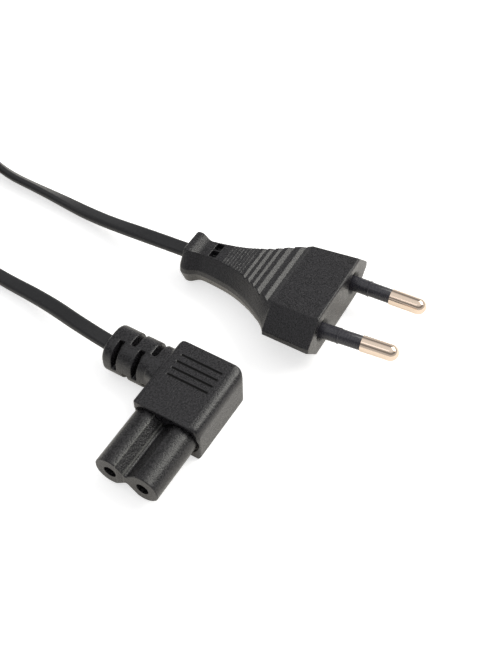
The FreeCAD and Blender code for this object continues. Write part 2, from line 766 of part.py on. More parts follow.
def parts():
    pieces = {
        "connector_housing": connector_housing(),
        "connector_insert": connector_insert(),
        "plug_body": placed(plug_body()),
        "plug_pin_bridge": placed(pin_bridge()),
        "cord_connector_run": cord_tube("cord_connector_run", connector_cord_points()),
        "cord_coil": cord_coil(),
        "cord_plug_run": cord_tube("cord_plug_run", plug_cord_points()),
        "coil_tie": tie_band(TIE_SUNK),
    }
    for side, colour in (("left", "blue"), ("right", "brown")):
        pieces["socket_contact_" + side] = contact(side)
        pieces["connector_core_" + colour] = connector_core(side)
        pieces["connector_strand_" + colour] = connector_strand(side)
        pieces["plug_pin_" + side] = placed(plug_pin(side))
        pieces["pin_sleeve_" + side] = placed(pin_sleeve(side))
        pieces["plug_core_" + colour] = placed(plug_core(side))
        pieces["plug_strand_" + colour] = placed(plug_strand(side))
    return pieces


os.makedirs("parts", exist_ok=True)
for name, solid in parts().items():
    solid.exportStep(os.path.join("parts", name + ".step"))
    print(name, "valid", solid.isValid(), "solids", len(solid.Solids), "volume", round(solid.Volume, 1))
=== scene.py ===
from math import cos, pi, radians, sin

import bmesh
import bpy
from mathutils import Euler, Matrix, Vector


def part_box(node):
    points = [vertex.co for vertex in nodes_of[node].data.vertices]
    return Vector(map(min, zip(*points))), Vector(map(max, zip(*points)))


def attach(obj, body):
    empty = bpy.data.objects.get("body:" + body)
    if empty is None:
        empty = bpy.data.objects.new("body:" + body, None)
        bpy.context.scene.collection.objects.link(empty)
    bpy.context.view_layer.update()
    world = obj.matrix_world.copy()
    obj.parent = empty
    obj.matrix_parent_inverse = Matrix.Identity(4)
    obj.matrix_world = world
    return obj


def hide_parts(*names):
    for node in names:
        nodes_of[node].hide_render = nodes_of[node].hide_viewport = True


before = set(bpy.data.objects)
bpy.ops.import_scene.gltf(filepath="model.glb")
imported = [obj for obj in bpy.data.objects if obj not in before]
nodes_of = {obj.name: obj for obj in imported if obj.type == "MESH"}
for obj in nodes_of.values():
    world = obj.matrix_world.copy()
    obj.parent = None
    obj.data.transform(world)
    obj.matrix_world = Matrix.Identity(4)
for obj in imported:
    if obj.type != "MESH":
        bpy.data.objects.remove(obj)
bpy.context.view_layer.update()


# The table and the studio: a white table top, a white surround with a dimmer band
# half-way up, one wide soft lamp beyond the plug on the right, a weak strip on the
# near side that draws the line along the pins, and the photograph's camera.
TABLE_HALF = 3.0
TABLE_DROP = 0.00005
TABLE_ROUGHNESS = 0.9
TABLE_COLOUR = (0.8, 0.8, 0.8, 1.0)
TABLE_SEEN_GLOW = 0.62
TABLE_MIRRORED_GLOW = 0.45
TABLE_MIRRORED_COLOUR = (0.95, 0.88, 0.76, 1.0)
PLAIN_WHITE = (1.0, 1.0, 1.0, 1.0)
SKY_BANDS = [
    (0.0, 0.62),
    (0.38, 0.60),
    (0.47, 0.22),
    (0.62, 0.22),
    (0.74, 0.38),
    (0.87, 0.86),
    (1.0, 0.95),
]
CAMERA_PLACE = (0.10324, -0.11826, 0.23122)
CAMERA_AZIMUTH = 32.67
CAMERA_ELEVATION = 51.66
CAMERA_ROLL = -1.65
CAMERA_SENSOR = 36.0
CAMERA_LENS = 88.52
CAMERA_NEAREST = 0.01


def new_material(name):
    material = bpy.data.materials.new(name)
    material.use_nodes = True
    tree = material.node_tree
    return material, tree, tree.nodes["Principled BSDF"]


def feed(tree, socket, value):
    # a socket takes a plain value or another node's output
    if isinstance(value, bpy.types.NodeSocket):
        tree.links.new(value, socket)
    else:
        socket.default_value = value


def maths(tree, operation, *values):
    step = tree.nodes.new("ShaderNodeMath")
    step.operation = operation
    for socket, value in zip(step.inputs, values):
        feed(tree, socket, value)
    return step.outputs[0]


def blended(tree, share, first, second):
    # the first colour where the share is 0, the second where it is 1
    mix = tree.nodes.new("ShaderNodeMix")
    mix.data_type = "RGBA"
    feed(tree, mix.inputs["Factor"], share)
    feed(tree, mix.inputs["A"], first)
    feed(tree, mix.inputs["B"], second)
    return mix.outputs["Result"]


def ranged(tree, value, before, after):
    # a value moved from one range into another, and kept inside it
    step = tree.nodes.new("ShaderNodeMapRange")
    feed(tree, step.inputs["Value"], value)
    feed(tree, step.inputs["From Min"], before[0])
    feed(tree, step.inputs["From Max"], before[1])
    feed(tree, step.inputs["To Min"], after[0])
    feed(tree, step.inputs["To Max"], after[1])
    return step.outputs["Result"]


def table_material():
    # white to the camera, and a warmer white in what shines on it
    material, tree, shader = new_material("table_white")
    path = tree.nodes.new("ShaderNodeLightPath")
    mirrored = path.outputs["Is Glossy Ray"]
    tint = blended(tree, mirrored, PLAIN_WHITE, TABLE_MIRRORED_COLOUR)
    seen = maths(tree, "MULTIPLY", path.outputs["Is Camera Ray"], TABLE_SEEN_GLOW)
    glow = maths(tree, "MULTIPLY_ADD", mirrored, TABLE_MIRRORED_GLOW, seen)
    feed(tree, shader.inputs["Base Color"], TABLE_COLOUR)
    feed(tree, shader.inputs["Roughness"], TABLE_ROUGHNESS)
    feed(tree, shader.inputs["Emission Color"], tint)
    feed(tree, shader.inputs["Emission Strength"], glow)
    return material


def studio_world():
    # plain white to the camera; the object is lit by bands that change with height
    world = bpy.data.worlds.new("studio")
    world.use_nodes = True
    tree = world.node_tree
    ray = tree.nodes.new("ShaderNodeTexCoord")
    height = tree.nodes.new("ShaderNodeSeparateXYZ")
    path = tree.nodes.new("ShaderNodeLightPath")
    bands = tree.nodes.new("ShaderNodeValToRGB")
    ramp = bands.color_ramp
    while len(ramp.elements) < len(SKY_BANDS):
        ramp.elements.new(0.5)
    for step, (at, strength) in zip(ramp.elements, SKY_BANDS):
        step.position = at
        step.color = (strength, strength, strength, 1.0)
    feed(tree, height.inputs["Vector"], ray.outputs["Generated"])
    feed(tree, bands.inputs["Fac"], height.outputs["Z"])
    level = ranged(tree, path.outputs["Is Camera Ray"], (0.0, 1.0), (bands.outputs["Color"], 1.0))
    sky = tree.nodes["Background"]
    feed(tree, sky.inputs["Color"], PLAIN_WHITE)
    feed(tree, sky.inputs["Strength"], level)
    bpy.context.scene.world = world


def soft_lamp(name, place, target, size, power, colour):
    data = bpy.data.lights.new(name, "AREA")
    data.shape = "RECTANGLE"
    data.size, data.size_y = size
    data.energy = power
    data.color = colour
    lamp = bpy.data.objects.new(name, data)
    bpy.context.collection.objects.link(lamp)
    aim = Vector(target) - Vector(place)
    facing = aim.to_track_quat("-Z", "Y").to_matrix().to_4x4()
    lamp.matrix_world = Matrix.Translation(place) @ facing


def photo_camera():
    data = bpy.data.cameras.new("camera")
    data.sensor_fit = "HORIZONTAL"
    data.sensor_width = CAMERA_SENSOR
    data.lens = CAMERA_LENS
    data.clip_start = CAMERA_NEAREST
    camera = bpy.data.objects.new("camera", data)
    bpy.context.collection.objects.link(camera)
    turn = Matrix.Rotation(radians(CAMERA_AZIMUTH), 4, "Z")
    tip = Matrix.Rotation(radians(90.0 - CAMERA_ELEVATION), 4, "X")
    roll = Matrix.Rotation(radians(CAMERA_ROLL), 4, "Z")
    camera.matrix_world = Matrix.Translation(CAMERA_PLACE) @ turn @ tip @ roll
    bpy.context.scene.camera = camera


bpy.ops.object.select_all(action="DESELECT")
bpy.ops.mesh.primitive_plane_add(size=2 * TABLE_HALF, location=(0.0, 0.0, -TABLE_DROP))
table = bpy.context.object
table.name = "table"
table.data.materials.append(table_material())
studio_world()
photo_camera()
soft_lamp(
    "lamp_far_right", place=(0.322, 0.552, 0.620), target=(0.02, 0.02, 0.0),
    size=(0.8, 0.46), power=6.2, colour=(1.0, 0.99, 0.93))
soft_lamp(
    "lamp_near_strip", place=(-0.152, -0.374, 0.664), target=(0.032, 0.050, 0.008),
    size=(0.08, 0.5), power=0.11, colour=(1.0, 0.97, 0.98))
bpy.context.scene.view_settings.view_transform = "Standard"


# Flat twin cord: two copper cores in one black flexible sheath, 4.2 mm wide and
# 2.1 mm thick with a shallow groove along the middle of each face. It leaves the
# connector nearly flat, turns on edge in the coil, and comes back on to the plug.
CORD_W = 0.0042
CORD_T = 0.0021
CORD_GROOVE = 0.00013
CORD_LINE_STEPS = 6
LOBE_STEPS = 11
LOBE_REACH = 88.0

# The coil is wound on edge from the table's side: five turns inward, a climb to the
# second layer and then outward again. Angles in degrees, shares in turns.
COIL_AT = (-0.1153, 0.0345)
COIL_OUTER_R = 0.0268
COIL_GAP = 0.0022
COIL_COLUMNS = 5
COIL_LAYER = 0.0044
COIL_ENTRY = -72.0
COIL_EXIT = 65.0
COIL_TURNS = 9 + (360.0 + COIL_ENTRY - COIL_EXIT) / 360.0
COIL_STEPS = 24
COIL_FIRST = 0.03
CLIMB = (4.78, 4.9)
STEP_IN = (0.88, 1.0)
STEP_OUT = (0.68, 0.78)

CONNECTOR_ROUTE = [
    (-0.0163, 0.01105, 0.00545),
    (-0.0253, 0.0116, 0.00575),
    (-0.0400, 0.0150, 0.0033),
    (-0.0570, 0.0162, 0.0019),
    (-0.08074, 0.01876, 0.00235),
    (-0.09216, 0.01505, 0.00215),
]
PLUG_ROUTE = [
    (-0.09014, 0.05107, 0.0040),
    (-0.0800, 0.0461, 0.0023),
    (-0.0615, 0.0459, 0.0022),
    (-0.0460, 0.0448, 0.0026),
    (-0.0286, 0.0441, 0.0058),
    (-0.01664, 0.0447, 0.0064),
]

# Degrees that the cord is turned from lying flat, at metres from its connector end
# and from its plug end
ON_EDGE = -90.0
TWIST_AT_CONNECTOR = [
    (0.0, 0.0),
    (0.020, 4.0),
    (0.046, -14.0),
    (0.082, ON_EDGE),
]
TWIST_AT_PLUG = [
    (0.0, -180.0),
    (0.010, -180.0),
    (0.030, -170.0),
    (0.055, -136.0),
    (0.075, -108.0),
    (0.098, ON_EDGE),
]

# Values that every moulded grain shares: how its heights and blotches go into the
# colour, the heights as painted shade in the pits and painted highlight on the bumps,
# how the heights go into the gloss, and the size and colour of its dust
GRAIN_DETAIL = 3.0
GRAIN_ROUGHNESS = 0.6
BLOTCH_SCALE = 160.0
DUST_SCALE = 2600.0
DUST_REACH = 0.22
DUST_COLOUR = (0.12, 0.12, 0.115, 1.0)
HEIGHT_IN_PAINTED_SHADE = (0.42, 0.62)
PAINTED_SHADE_SHARE = 0.75
BLOTCH_SHARE = 0.25
HEIGHT_IN_GLOSS = (0.3, 0.7)
EDGE_SAMPLES = 6


def eased(value, window):
    share = min(max((value - window[0]) / (window[1] - window[0]), 0.0), 1.0)
    return share * share * (3.0 - 2.0 * share)


def coil_column(turn):
    # steps inward on the bottom layer, back outward on the top layer
    inward = sum(
        eased(turn, (k + STEP_IN[0], k + STEP_IN[1]))
        for k in range(COIL_COLUMNS - 1))
    outward = sum(
        eased(turn, (k + STEP_OUT[0], k + STEP_OUT[1]))
        for k in range(COIL_COLUMNS, 2 * COIL_COLUMNS - 1))
    return inward - outward


def coil_points():
    count = int(COIL_TURNS * COIL_STEPS)
    points = []
    for step in range(count + 1):
        turn = COIL_FIRST + (COIL_TURNS - 2 * COIL_FIRST) * step / count
        angle = radians(COIL_ENTRY) - 2.0 * pi * turn
        radius = COIL_OUTER_R - COIL_GAP * coil_column(turn)
        radius /= cos(pi / COIL_STEPS)
        height = CORD_W / 2 + COIL_LAYER * eased(turn, CLIMB)
        points.append((
            COIL_AT[0] + radius * cos(angle),
            COIL_AT[1] + radius * sin(angle),
            height))
    return points


def cord_line(name, points, resolution):
    data = bpy.data.curves.new(name, "CURVE")
    data.dimensions = "3D"
    data.resolution_u = resolution
    spline = data.splines.new("NURBS")
    spline.points.add(len(points) - 1)
    for slot, point in zip(spline.points, points):
        slot.co = (*point, 1.0)
    spline.order_u = 3
    spline.use_endpoint_u = True
    line = bpy.data.objects.new(name, data)
    bpy.context.collection.objects.link(line)
    return line


def points_of(line):
    mesh = bpy.data.meshes.new_from_object(line)
    points = [v.co.copy() for v in mesh.vertices]
    bpy.data.meshes.remove(mesh)
    return points


def twin_section():
    # half of the outline is one lobe; the other lobe is the same, turned round
    lobe_r = CORD_T / 2
    offset = CORD_W / 2 - lobe_r
    points = []
    for side in (1, -1):
        for step in range(LOBE_STEPS):
            angle = radians(-LOBE_REACH + 2 * LOBE_REACH * step / (LOBE_STEPS - 1))
            points.append((side * (offset + lobe_r * cos(angle)), side * lobe_r * sin(angle)))
        points.append((0.0, side * (lobe_r - CORD_GROOVE)))
    return points


def cord_twist(along, total):
    # eased between the listed places of the nearer end, and on edge in the coil
    if along < total / 2:
        places, here = TWIST_AT_CONNECTOR, along
    else:
        places, here = TWIST_AT_PLUG, total - along
    for (near, a), (far, b) in zip(places, places[1:]):
        if near <= here <= far:
            return a + (b - a) * eased(here, (near, far))
    return ON_EDGE


def outward_normals(piece):
    form = bmesh.new()
    form.from_mesh(piece.data)
    bmesh.ops.recalc_face_normals(form, faces=form.faces)
    form.to_mesh(piece.data)
    form.free()
    piece.data.update()


def sweep(name, centres, section, twist):
    # a closed tube with one ring of the section at each centre
    lengths = [0.0]
    for a, b in zip(centres, centres[1:]):
        lengths.append(lengths[-1] + (b - a).length)
    rings = []
    for i, centre in enumerate(centres):
        ahead = centres[min(i + 1, len(centres) - 1)] - centres[max(i - 1, 0)]
        ahead.normalize()
        side = ahead.cross(Vector((0, 0, 1))).normalized()
        up = side.cross(ahead)
        turn = radians(twist(lengths[i], lengths[-1]))
        wide = side * cos(turn) + up * sin(turn)
        thin = up * cos(turn) - side * sin(turn)
        rings.append([centre + wide * x + thin * y for x, y in section])
    count = len(section)
    verts = [tuple(point) for ring in rings for point in ring]
    faces = []
    for i in range(len(rings) - 1):
        for k in range(count):
            a = i * count + k
            b = i * count + (k + 1) % count
            faces.append((a, b, b + count, a + count))
    faces.append(tuple(range(count))[::-1])
    faces.append(tuple(range(len(verts) - count, len(verts))))
    mesh = bpy.data.meshes.new(name)
    mesh.from_pydata(verts, [], faces)
    mesh.update()
    piece = bpy.data.objects.new(name, mesh)
    bpy.context.collection.objects.link(piece)
    outward_normals(piece)
    return piece


def select_alone(piece):
    bpy.ops.object.select_all(action="DESELECT")
    piece.select_set(True)
    bpy.context.view_layer.objects.active = piece


def smooth(piece, angle):
    select_alone(piece)
    bpy.ops.object.shade_smooth_by_angle(angle=radians(angle))


def grain_group():
    # what spark erosion leaves in a mould: pits and bumps a few tenths of a
    # millimetre apart, slow blotches in the gloss, and a little pale dust
    group = bpy.data.node_groups.new("moulded_grain", "ShaderNodeTree")
    face = group.interface
    face.new_socket(name="Vector", in_out="INPUT", socket_type="NodeSocketVector")
    for name in ("Grain Scale", "Blotch Scale", "Dust Scale", "Dust Share"):
        face.new_socket(name=name, in_out="INPUT", socket_type="NodeSocketFloat")
    for name in ("Height", "Blotch", "Dust"):
        face.new_socket(name=name, in_out="OUTPUT", socket_type="NodeSocketFloat")
    start = group.nodes.new("NodeGroupInput")
    end = group.nodes.new("NodeGroupOutput")
    fine = group.nodes.new("ShaderNodeTexNoise")
    feed(group, fine.inputs["Detail"], GRAIN_DETAIL)
    feed(group, fine.inputs["Roughness"], GRAIN_ROUGHNESS)
    slow = group.nodes.new("ShaderNodeTexNoise")
    feed(group, slow.inputs["Detail"], GRAIN_DETAIL)
    cells = group.nodes.new("ShaderNodeTexVoronoi")
    cells.feature = "F1"
    for texture, scale in ((fine, "Grain Scale"), (slow, "Blotch Scale"), (cells, "Dust Scale")):
        feed(group, texture.inputs["Vector"], start.outputs["Vector"])
        feed(group, texture.inputs["Scale"], start.outputs[scale])
    pick = group.nodes.new("ShaderNodeSeparateColor")
    feed(group, pick.inputs["Color"], cells.outputs["Color"])
    near = maths(group, "LESS_THAN", cells.outputs["Distance"], DUST_REACH)
    rare = maths(group, "LESS_THAN", pick.outputs["Red"], start.outputs["Dust Share"])
    feed(group, end.inputs["Height"], fine.outputs["Fac"])
    feed(group, end.inputs["Blotch"], slow.outputs["Fac"])
    feed(group, end.inputs["Dust"], maths(group, "MULTIPLY", near, rare))
    return group


grain = grain_group()


def moulded_material(name, dark, pale, rough, grain_scale, depth, dust=0.0, edge=0.0):
    # dark and pale are painted into the grain's pits and bumps as painted shade and
    # painted highlight, mixed with slow blotches; rough is the range of the gloss; depth is
    # the grain's height and edge the rounding of corners, in m
    material, tree, shader = new_material(name)
    place = tree.nodes.new("ShaderNodeTexCoord")
    effect = tree.nodes.new("ShaderNodeGroup")
    effect.node_tree = grain
    feed(tree, effect.inputs["Vector"], place.outputs["Object"])
    feed(tree, effect.inputs["Grain Scale"], grain_scale)
    feed(tree, effect.inputs["Blotch Scale"], BLOTCH_SCALE)
    feed(tree, effect.inputs["Dust Scale"], DUST_SCALE)
    feed(tree, effect.inputs["Dust Share"], dust)
    height = effect.outputs["Height"]
    # painted shade in the grain's pits and painted highlight on its bumps, plus blotches
    relief = ranged(tree, height, HEIGHT_IN_PAINTED_SHADE, (0.0, PAINTED_SHADE_SHARE))
    share = maths(tree, "MULTIPLY_ADD", effect.outputs["Blotch"], BLOTCH_SHARE, relief)
    clean = blended(tree, share, (*dark, 1.0), (*pale, 1.0))
    dusty = blended(tree, effect.outputs["Dust"], clean, DUST_COLOUR)
    feed(tree, shader.inputs["Base Color"], dusty)
    feed(tree, shader.inputs["Roughness"], ranged(tree, height, HEIGHT_IN_GLOSS, rough))
    bump = tree.nodes.new("ShaderNodeBump")
    bump.name = "grain_bump"
    feed(tree, bump.inputs["Distance"], depth)
    feed(tree, bump.inputs["Strength"], 1.0)
    feed(tree, bump.inputs["Height"], height)
    if edge:
        round_edge = tree.nodes.new("ShaderNodeBevel")
        round_edge.samples = EDGE_SAMPLES
        feed(tree, round_edge.inputs["Radius"], edge)
        feed(tree, bump.inputs["Normal"], round_edge.outputs["Normal"])
    feed(tree, shader.inputs["Normal"], bump.outputs["Normal"])
    return material


route = cord_line("cord_line", CONNECTOR_ROUTE + coil_points() + PLUG_ROUTE, CORD_LINE_STEPS)
cord_path = points_of(route)
bpy.data.objects.remove(route)
cord = sweep("cord", cord_path, twin_section(), cord_twist)
smooth(cord, angle=40)
cord.data.materials.append(moulded_material(
    "cord_sheath", dark=(0.009, 0.009, 0.0105), pale=(0.015, 0.015, 0.017),
    rough=(0.32, 0.48), grain_scale=2600.0, depth=0.000006))
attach(cord, "root")
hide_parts("cord_connector_run", "cord_coil", "cord_plug_run")


# Strap that ties the unseen length into a coil: a black nylon band drawn tight
# round the bundle, its end passed through a small ratchet head and cut off short.
TIE_ANGLE = 150.0
TIE_W = 0.004
TIE_T = 0.0008
TIE_CORNER = 0.0018
TIE_EDGE = 0.00012
TIE_SINK = 0.00057
TIE_WALL_OFFSET = 0.3
TIE_WALL_OUTSIDE = 0.65
TIE_HEAD = (0.0046, 0.0054, 0.0027)
TIE_HEAD_RIM = 0.0009
TIE_HEAD_EDGE = 0.0003
TIE_SLOT_SLOPE = 0.0002
TIE_SLOT_DEPTH = 0.0006
TIE_TAIL = (0.0034, 0.0034, 0.0009)
TIE_TAIL_LIFT = 0.0009
TIE_TAIL_TUCK = 0.0003
TIE_TAIL_EDGE = 0.0002
BUNDLE_W = (COIL_COLUMNS - 1) * COIL_GAP + CORD_T
BUNDLE_H = COIL_LAYER + CORD_W
BUNDLE_MID_R = COIL_OUTER_R - (COIL_COLUMNS - 1) * COIL_GAP / 2


def box_piece(name, size, place):
    bpy.ops.object.select_all(action="DESELECT")
    bpy.ops.mesh.primitive_cube_add(size=1.0, location=place)
    piece = bpy.context.object
    piece.name = name
    piece.scale = size
    bpy.ops.object.transform_apply(location=True, rotation=True, scale=True)
    return piece


def picked_faces(piece, chosen):
    # selects faces in edit mode by their normal
    bpy.ops.object.mode_set(mode="EDIT")
    bpy.ops.mesh.select_mode(type="FACE")
    form = bmesh.from_edit_mesh(piece.data)
    for face in form.faces:
        face.select_set(bool(chosen(face.normal)))
    bmesh.update_edit_mesh(piece.data)


def picked_edges(piece, chosen):
    # selects edges in edit mode by the places of their two ends
    bpy.ops.object.mode_set(mode="EDIT")
    bpy.ops.mesh.select_mode(type="EDGE")
    form = bmesh.from_edit_mesh(piece.data)
    for edge in form.edges:
        edge.select_set(bool(chosen(*[v.co for v in edge.verts])))
    bmesh.update_edit_mesh(piece.data)


def applied(piece, kind, name, **values):
    select_alone(piece)
    step = piece.modifiers.new(name, kind)
    for key, value in values.items():
        setattr(step, key, value)
    bpy.ops.object.modifier_apply(modifier=name)


def rounded(piece, width, segments, over):
    # rounds the edges that turn by more than so many degrees
    applied(
        piece, "BEVEL", "edges", width=width, segments=segments,
        limit_method="ANGLE", angle_limit=radians(over))


def tie_strap():
    # a rounded box round the bundle, its two open sides taken away, given a wall
    size = (BUNDLE_W, TIE_W, BUNDLE_H - TIE_SINK)
    strap = box_piece("tie_strap", size, (BUNDLE_MID_R, 0.0, (BUNDLE_H + TIE_SINK) / 2))
    picked_edges(strap, lambda a, b: abs(a.y - b.y) > TIE_W / 2)
    bpy.ops.mesh.bevel(offset=TIE_CORNER, segments=6, affect="EDGES")
    picked_faces(strap, lambda normal: abs(normal.y) > 0.9)
    bpy.ops.mesh.delete(type="FACE")
    bpy.ops.object.mode_set(mode="OBJECT")
    applied(strap, "SOLIDIFY", "wall", thickness=TIE_T, offset=TIE_WALL_OFFSET)
    rounded(strap, TIE_EDGE, segments=2, over=50)
    return strap


def tie_head():
    # ratchet head on the strap's top, with the slot, and the cut tail beside it
    top = BUNDLE_H + TIE_T * TIE_WALL_OUTSIDE
    head = box_piece("tie_head", TIE_HEAD, (BUNDLE_MID_R, 0.0, top + TIE_HEAD[2] / 2))
    picked_faces(head, lambda normal: normal.z > 0.9)
    bpy.ops.mesh.inset(thickness=TIE_HEAD_RIM, depth=0.0)
    bpy.ops.mesh.inset(thickness=TIE_SLOT_SLOPE, depth=-TIE_SLOT_DEPTH)
    bpy.ops.object.mode_set(mode="OBJECT")
    rounded(head, TIE_HEAD_EDGE, segments=3, over=40)
    tail_x = BUNDLE_MID_R + TIE_HEAD[0] / 2 + TIE_TAIL[0] / 2 - TIE_TAIL_TUCK
    tail = box_piece("tie_tail", TIE_TAIL, (tail_x, 0.0, top + TIE_TAIL_LIFT))
    rounded(tail, TIE_TAIL_EDGE, segments=2, over=40)
    return head, tail


tie = tie_strap()
head_and_tail = tie_head()
select_alone(tie)
for part in head_and_tail:
    part.select_set(True)
bpy.ops.object.join()
tie.name = "tie"
tie.data.transform(
    Matrix.Translation((*COIL_AT, 0.0)) @ Matrix.Rotation(radians(TIE_ANGLE), 4, "Z"))
smooth(tie, angle=35)
tie.data.materials.append(moulded_material(
    "tie_nylon", dark=(0.016, 0.016, 0.018), pale=(0.026, 0.026, 0.028),
    rough=(0.35, 0.5), grain_scale=2200.0, depth=0.00002))
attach(tie, "root")
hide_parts("coil_tie")


# Right-angled connector moulding: soft black PVC shot round the nose block and the
# cord in one, with the slotted strain relief and the grip grooves. Its corners are
# a little melted, as a soft moulding's are, and a spark-eroded grain covers it.
HOUSING_VOXEL = 0.00014
HOUSING_MELT = 3
HOUSING_KEPT = 0.42
BODY_RIGHT_X, BODY_BACK_Y, BODY_TOP_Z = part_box("connector_housing")[1]
GRIP_X = (BODY_RIGHT_X - 0.0155, BODY_RIGHT_X - 0.0035)
GRIP_Y = (BODY_BACK_Y - 0.0112, BODY_BACK_Y - 0.0036)
GRIP_CRISP = 0.0006
GRIP_SHADE = (0.00007, 0.0008)
# colour of the painted shade in the grip grooves' floors
GRIP_SHADE_COLOUR = (0.0008, 0.0008, 0.001, 1.0)
EDGE_REACH = 0.0026
EDGE_MELT = 90
RELIEF_X = BODY_RIGHT_X - 0.0182
RELIEF_MELT = 14
MELT_PULL = 0.5
DOUBLES = 0.000001


def relaxed_where(piece, chosen, rounds):
    # melts only the vertices that are picked by their place
    zone = piece.vertex_groups.new(name="melted")
    zone.add([v.index for v in piece.data.vertices if chosen(v.co)], 1.0, "REPLACE")
    applied(
        piece, "SMOOTH", "melted", vertex_group="melted", factor=MELT_PULL, iterations=rounds)
    piece.vertex_groups.clear()


def softened(node, name, voxel, melt, kept, crisp=None):
    # a copy of the solid, its loose triangles merged, rebuilt, relaxed and thinned;
    # crisp picks the vertices that stay as sharp as they are
    piece = bpy.data.objects.new(name, nodes_of[node].data.copy())
    bpy.context.collection.objects.link(piece)
    piece.data.materials.clear()
    select_alone(piece)
    bpy.ops.object.mode_set(mode="EDIT")
    bpy.ops.mesh.select_all(action="SELECT")
    bpy.ops.mesh.remove_doubles(threshold=DOUBLES)
    bpy.ops.object.mode_set(mode="OBJECT")
    applied(piece, "REMESH", "rebuilt", mode="VOXEL", voxel_size=voxel)
    relaxed_where(piece, lambda co: not (crisp and crisp(co)), melt)
    applied(piece, "DECIMATE", "thinned", ratio=kept)
    bpy.ops.object.shade_smooth()
    return piece


def in_grooves(co):
    # the grip grooves' patch of the top
    over = co.z > BODY_TOP_Z - GRIP_CRISP
    return over and GRIP_X[0] < co.x < GRIP_X[1] and GRIP_Y[0] < co.y < GRIP_Y[1]


def at_right_edge(co):
    # the long top edge on the right, which is rounded the most
    return co.z > BODY_TOP_Z - EDGE_REACH and co.x > BODY_RIGHT_X - EDGE_REACH


def at_relief(co):
    # the slotted strain relief
    return co.x < RELIEF_X


def object_axes(tree):
    place = tree.nodes.new("ShaderNodeTexCoord")
    axes = tree.nodes.new("ShaderNodeSeparateXYZ")
    feed(tree, axes.inputs["Vector"], place.outputs["Object"])
    return axes.outputs


def inside(tree, axes, tests):
    # a mask of 1 where the object coordinates pass every test (axis, test, bound)
    passed = [maths(tree, test, axes[axis], bound) for axis, test, bound in tests]
    mask = passed[0]
    for another in passed[1:]:
        mask = maths(tree, "MULTIPLY", mask, another)
    return mask


def dull_grooves_painted_shade(material):
    # the grip grooves' floors are left dull, and painted shade darkens their colour
    tree = material.node_tree
    shader = tree.nodes["Principled BSDF"]
    mask = inside(tree, object_axes(tree), [
        ("X", "GREATER_THAN", GRIP_X[0]),
        ("X", "LESS_THAN", GRIP_X[1]),
        ("Y", "GREATER_THAN", GRIP_Y[0]),
        ("Y", "LESS_THAN", GRIP_Y[1]),
        ("Z", "LESS_THAN", BODY_TOP_Z - GRIP_SHADE[0]),
        ("Z", "GREATER_THAN", BODY_TOP_Z - GRIP_SHADE[1]),
    ])
    colour = shader.inputs["Base Color"].links[0].from_socket
    gloss = shader.inputs["Roughness"].links[0].from_socket
    # painted shade: the grooves' floors get a near black colour
    feed(tree, shader.inputs["Base Color"], blended(tree, mask, colour, GRIP_SHADE_COLOUR))
    feed(tree, shader.inputs["Roughness"], maths(tree, "MAXIMUM", mask, gloss))


housing = softened(
    "connector_housing", "connector_moulding",
    HOUSING_VOXEL, HOUSING_MELT, HOUSING_KEPT, in_grooves)
relaxed_where(housing, at_right_edge, EDGE_MELT)
relaxed_where(housing, at_relief, RELIEF_MELT)
connector_pvc = moulded_material(
    "connector_pvc", dark=(0.0012, 0.001, 0.0018), pale=(0.026, 0.0245, 0.0285),
    rough=(0.2, 0.42), grain_scale=2300.0, depth=0.00007, dust=0.004)
dull_grooves_painted_shade(connector_pvc)
housing.data.materials.append(connector_pvc)
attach(housing, "root")
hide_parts("connector_housing")


# Nose of the connector: one hard block with two lobes, pressed into the soft body.
# The flank between the left lobe's crease and the valley is left coarser by the
# mould than the lobes are, and a thin painted highlight runs along each of its edges.
FLANK = (0.00455, 0.0065)
FLANK_LOW_Z = 0.004
FLANK_GRAIN = 3.0
# width and colour of the painted highlight along the crease and along the valley's edge
FLANK_HIGHLIGHT_WIDTH = 0.00013
FLANK_HIGHLIGHT_COLOUR = (0.085, 0.085, 0.08, 1.0)


def coarser_flank_with_highlights(material):
    # the grain is higher where x is inside the flank, with a painted highlight along each side
    tree = material.node_tree
    axes = object_axes(tree)
    mask = inside(tree, axes, [
        ("X", "GREATER_THAN", FLANK[0]),
        ("X", "LESS_THAN", FLANK[1]),
        ("Z", "GREATER_THAN", FLANK_LOW_Z),
    ])
    height = tree.nodes["grain_bump"].inputs["Height"]
    times = maths(tree, "MULTIPLY_ADD", mask, FLANK_GRAIN, 1.0)
    feed(tree, height, maths(tree, "MULTIPLY", height.links[0].from_socket, times))
    base = tree.nodes["Principled BSDF"].inputs["Base Color"]
    for bound in FLANK:
        # a thin pale band of painted highlight at each edge of the flank
        line = maths(tree, "COMPARE", axes["X"], bound, FLANK_HIGHLIGHT_WIDTH)
        feed(tree, base, blended(tree, line, base.links[0].from_socket, FLANK_HIGHLIGHT_COLOUR))


def finish_node(name, material):
    # a solid that is shown as it is, in its own finish
    slots = nodes_of[name].data.materials
    slots.clear()
    slots.append(material)


nose_plastic = moulded_material(
    "nose_plastic", dark=(0.0012, 0.001, 0.0016), pale=(0.031, 0.0295, 0.032),
    rough=(0.2, 0.42), grain_scale=2300.0, depth=0.00008, dust=0.004, edge=0.00012)
coarser_flank_with_highlights(nose_plastic)
finish_node("connector_insert", nose_plastic)


# Socket contacts: brass strip rolled into split tubes, seated behind the two holes
# and crimped on the conductors.
LINE_DETAIL = 3.0
LINE_SHADE = 0.9


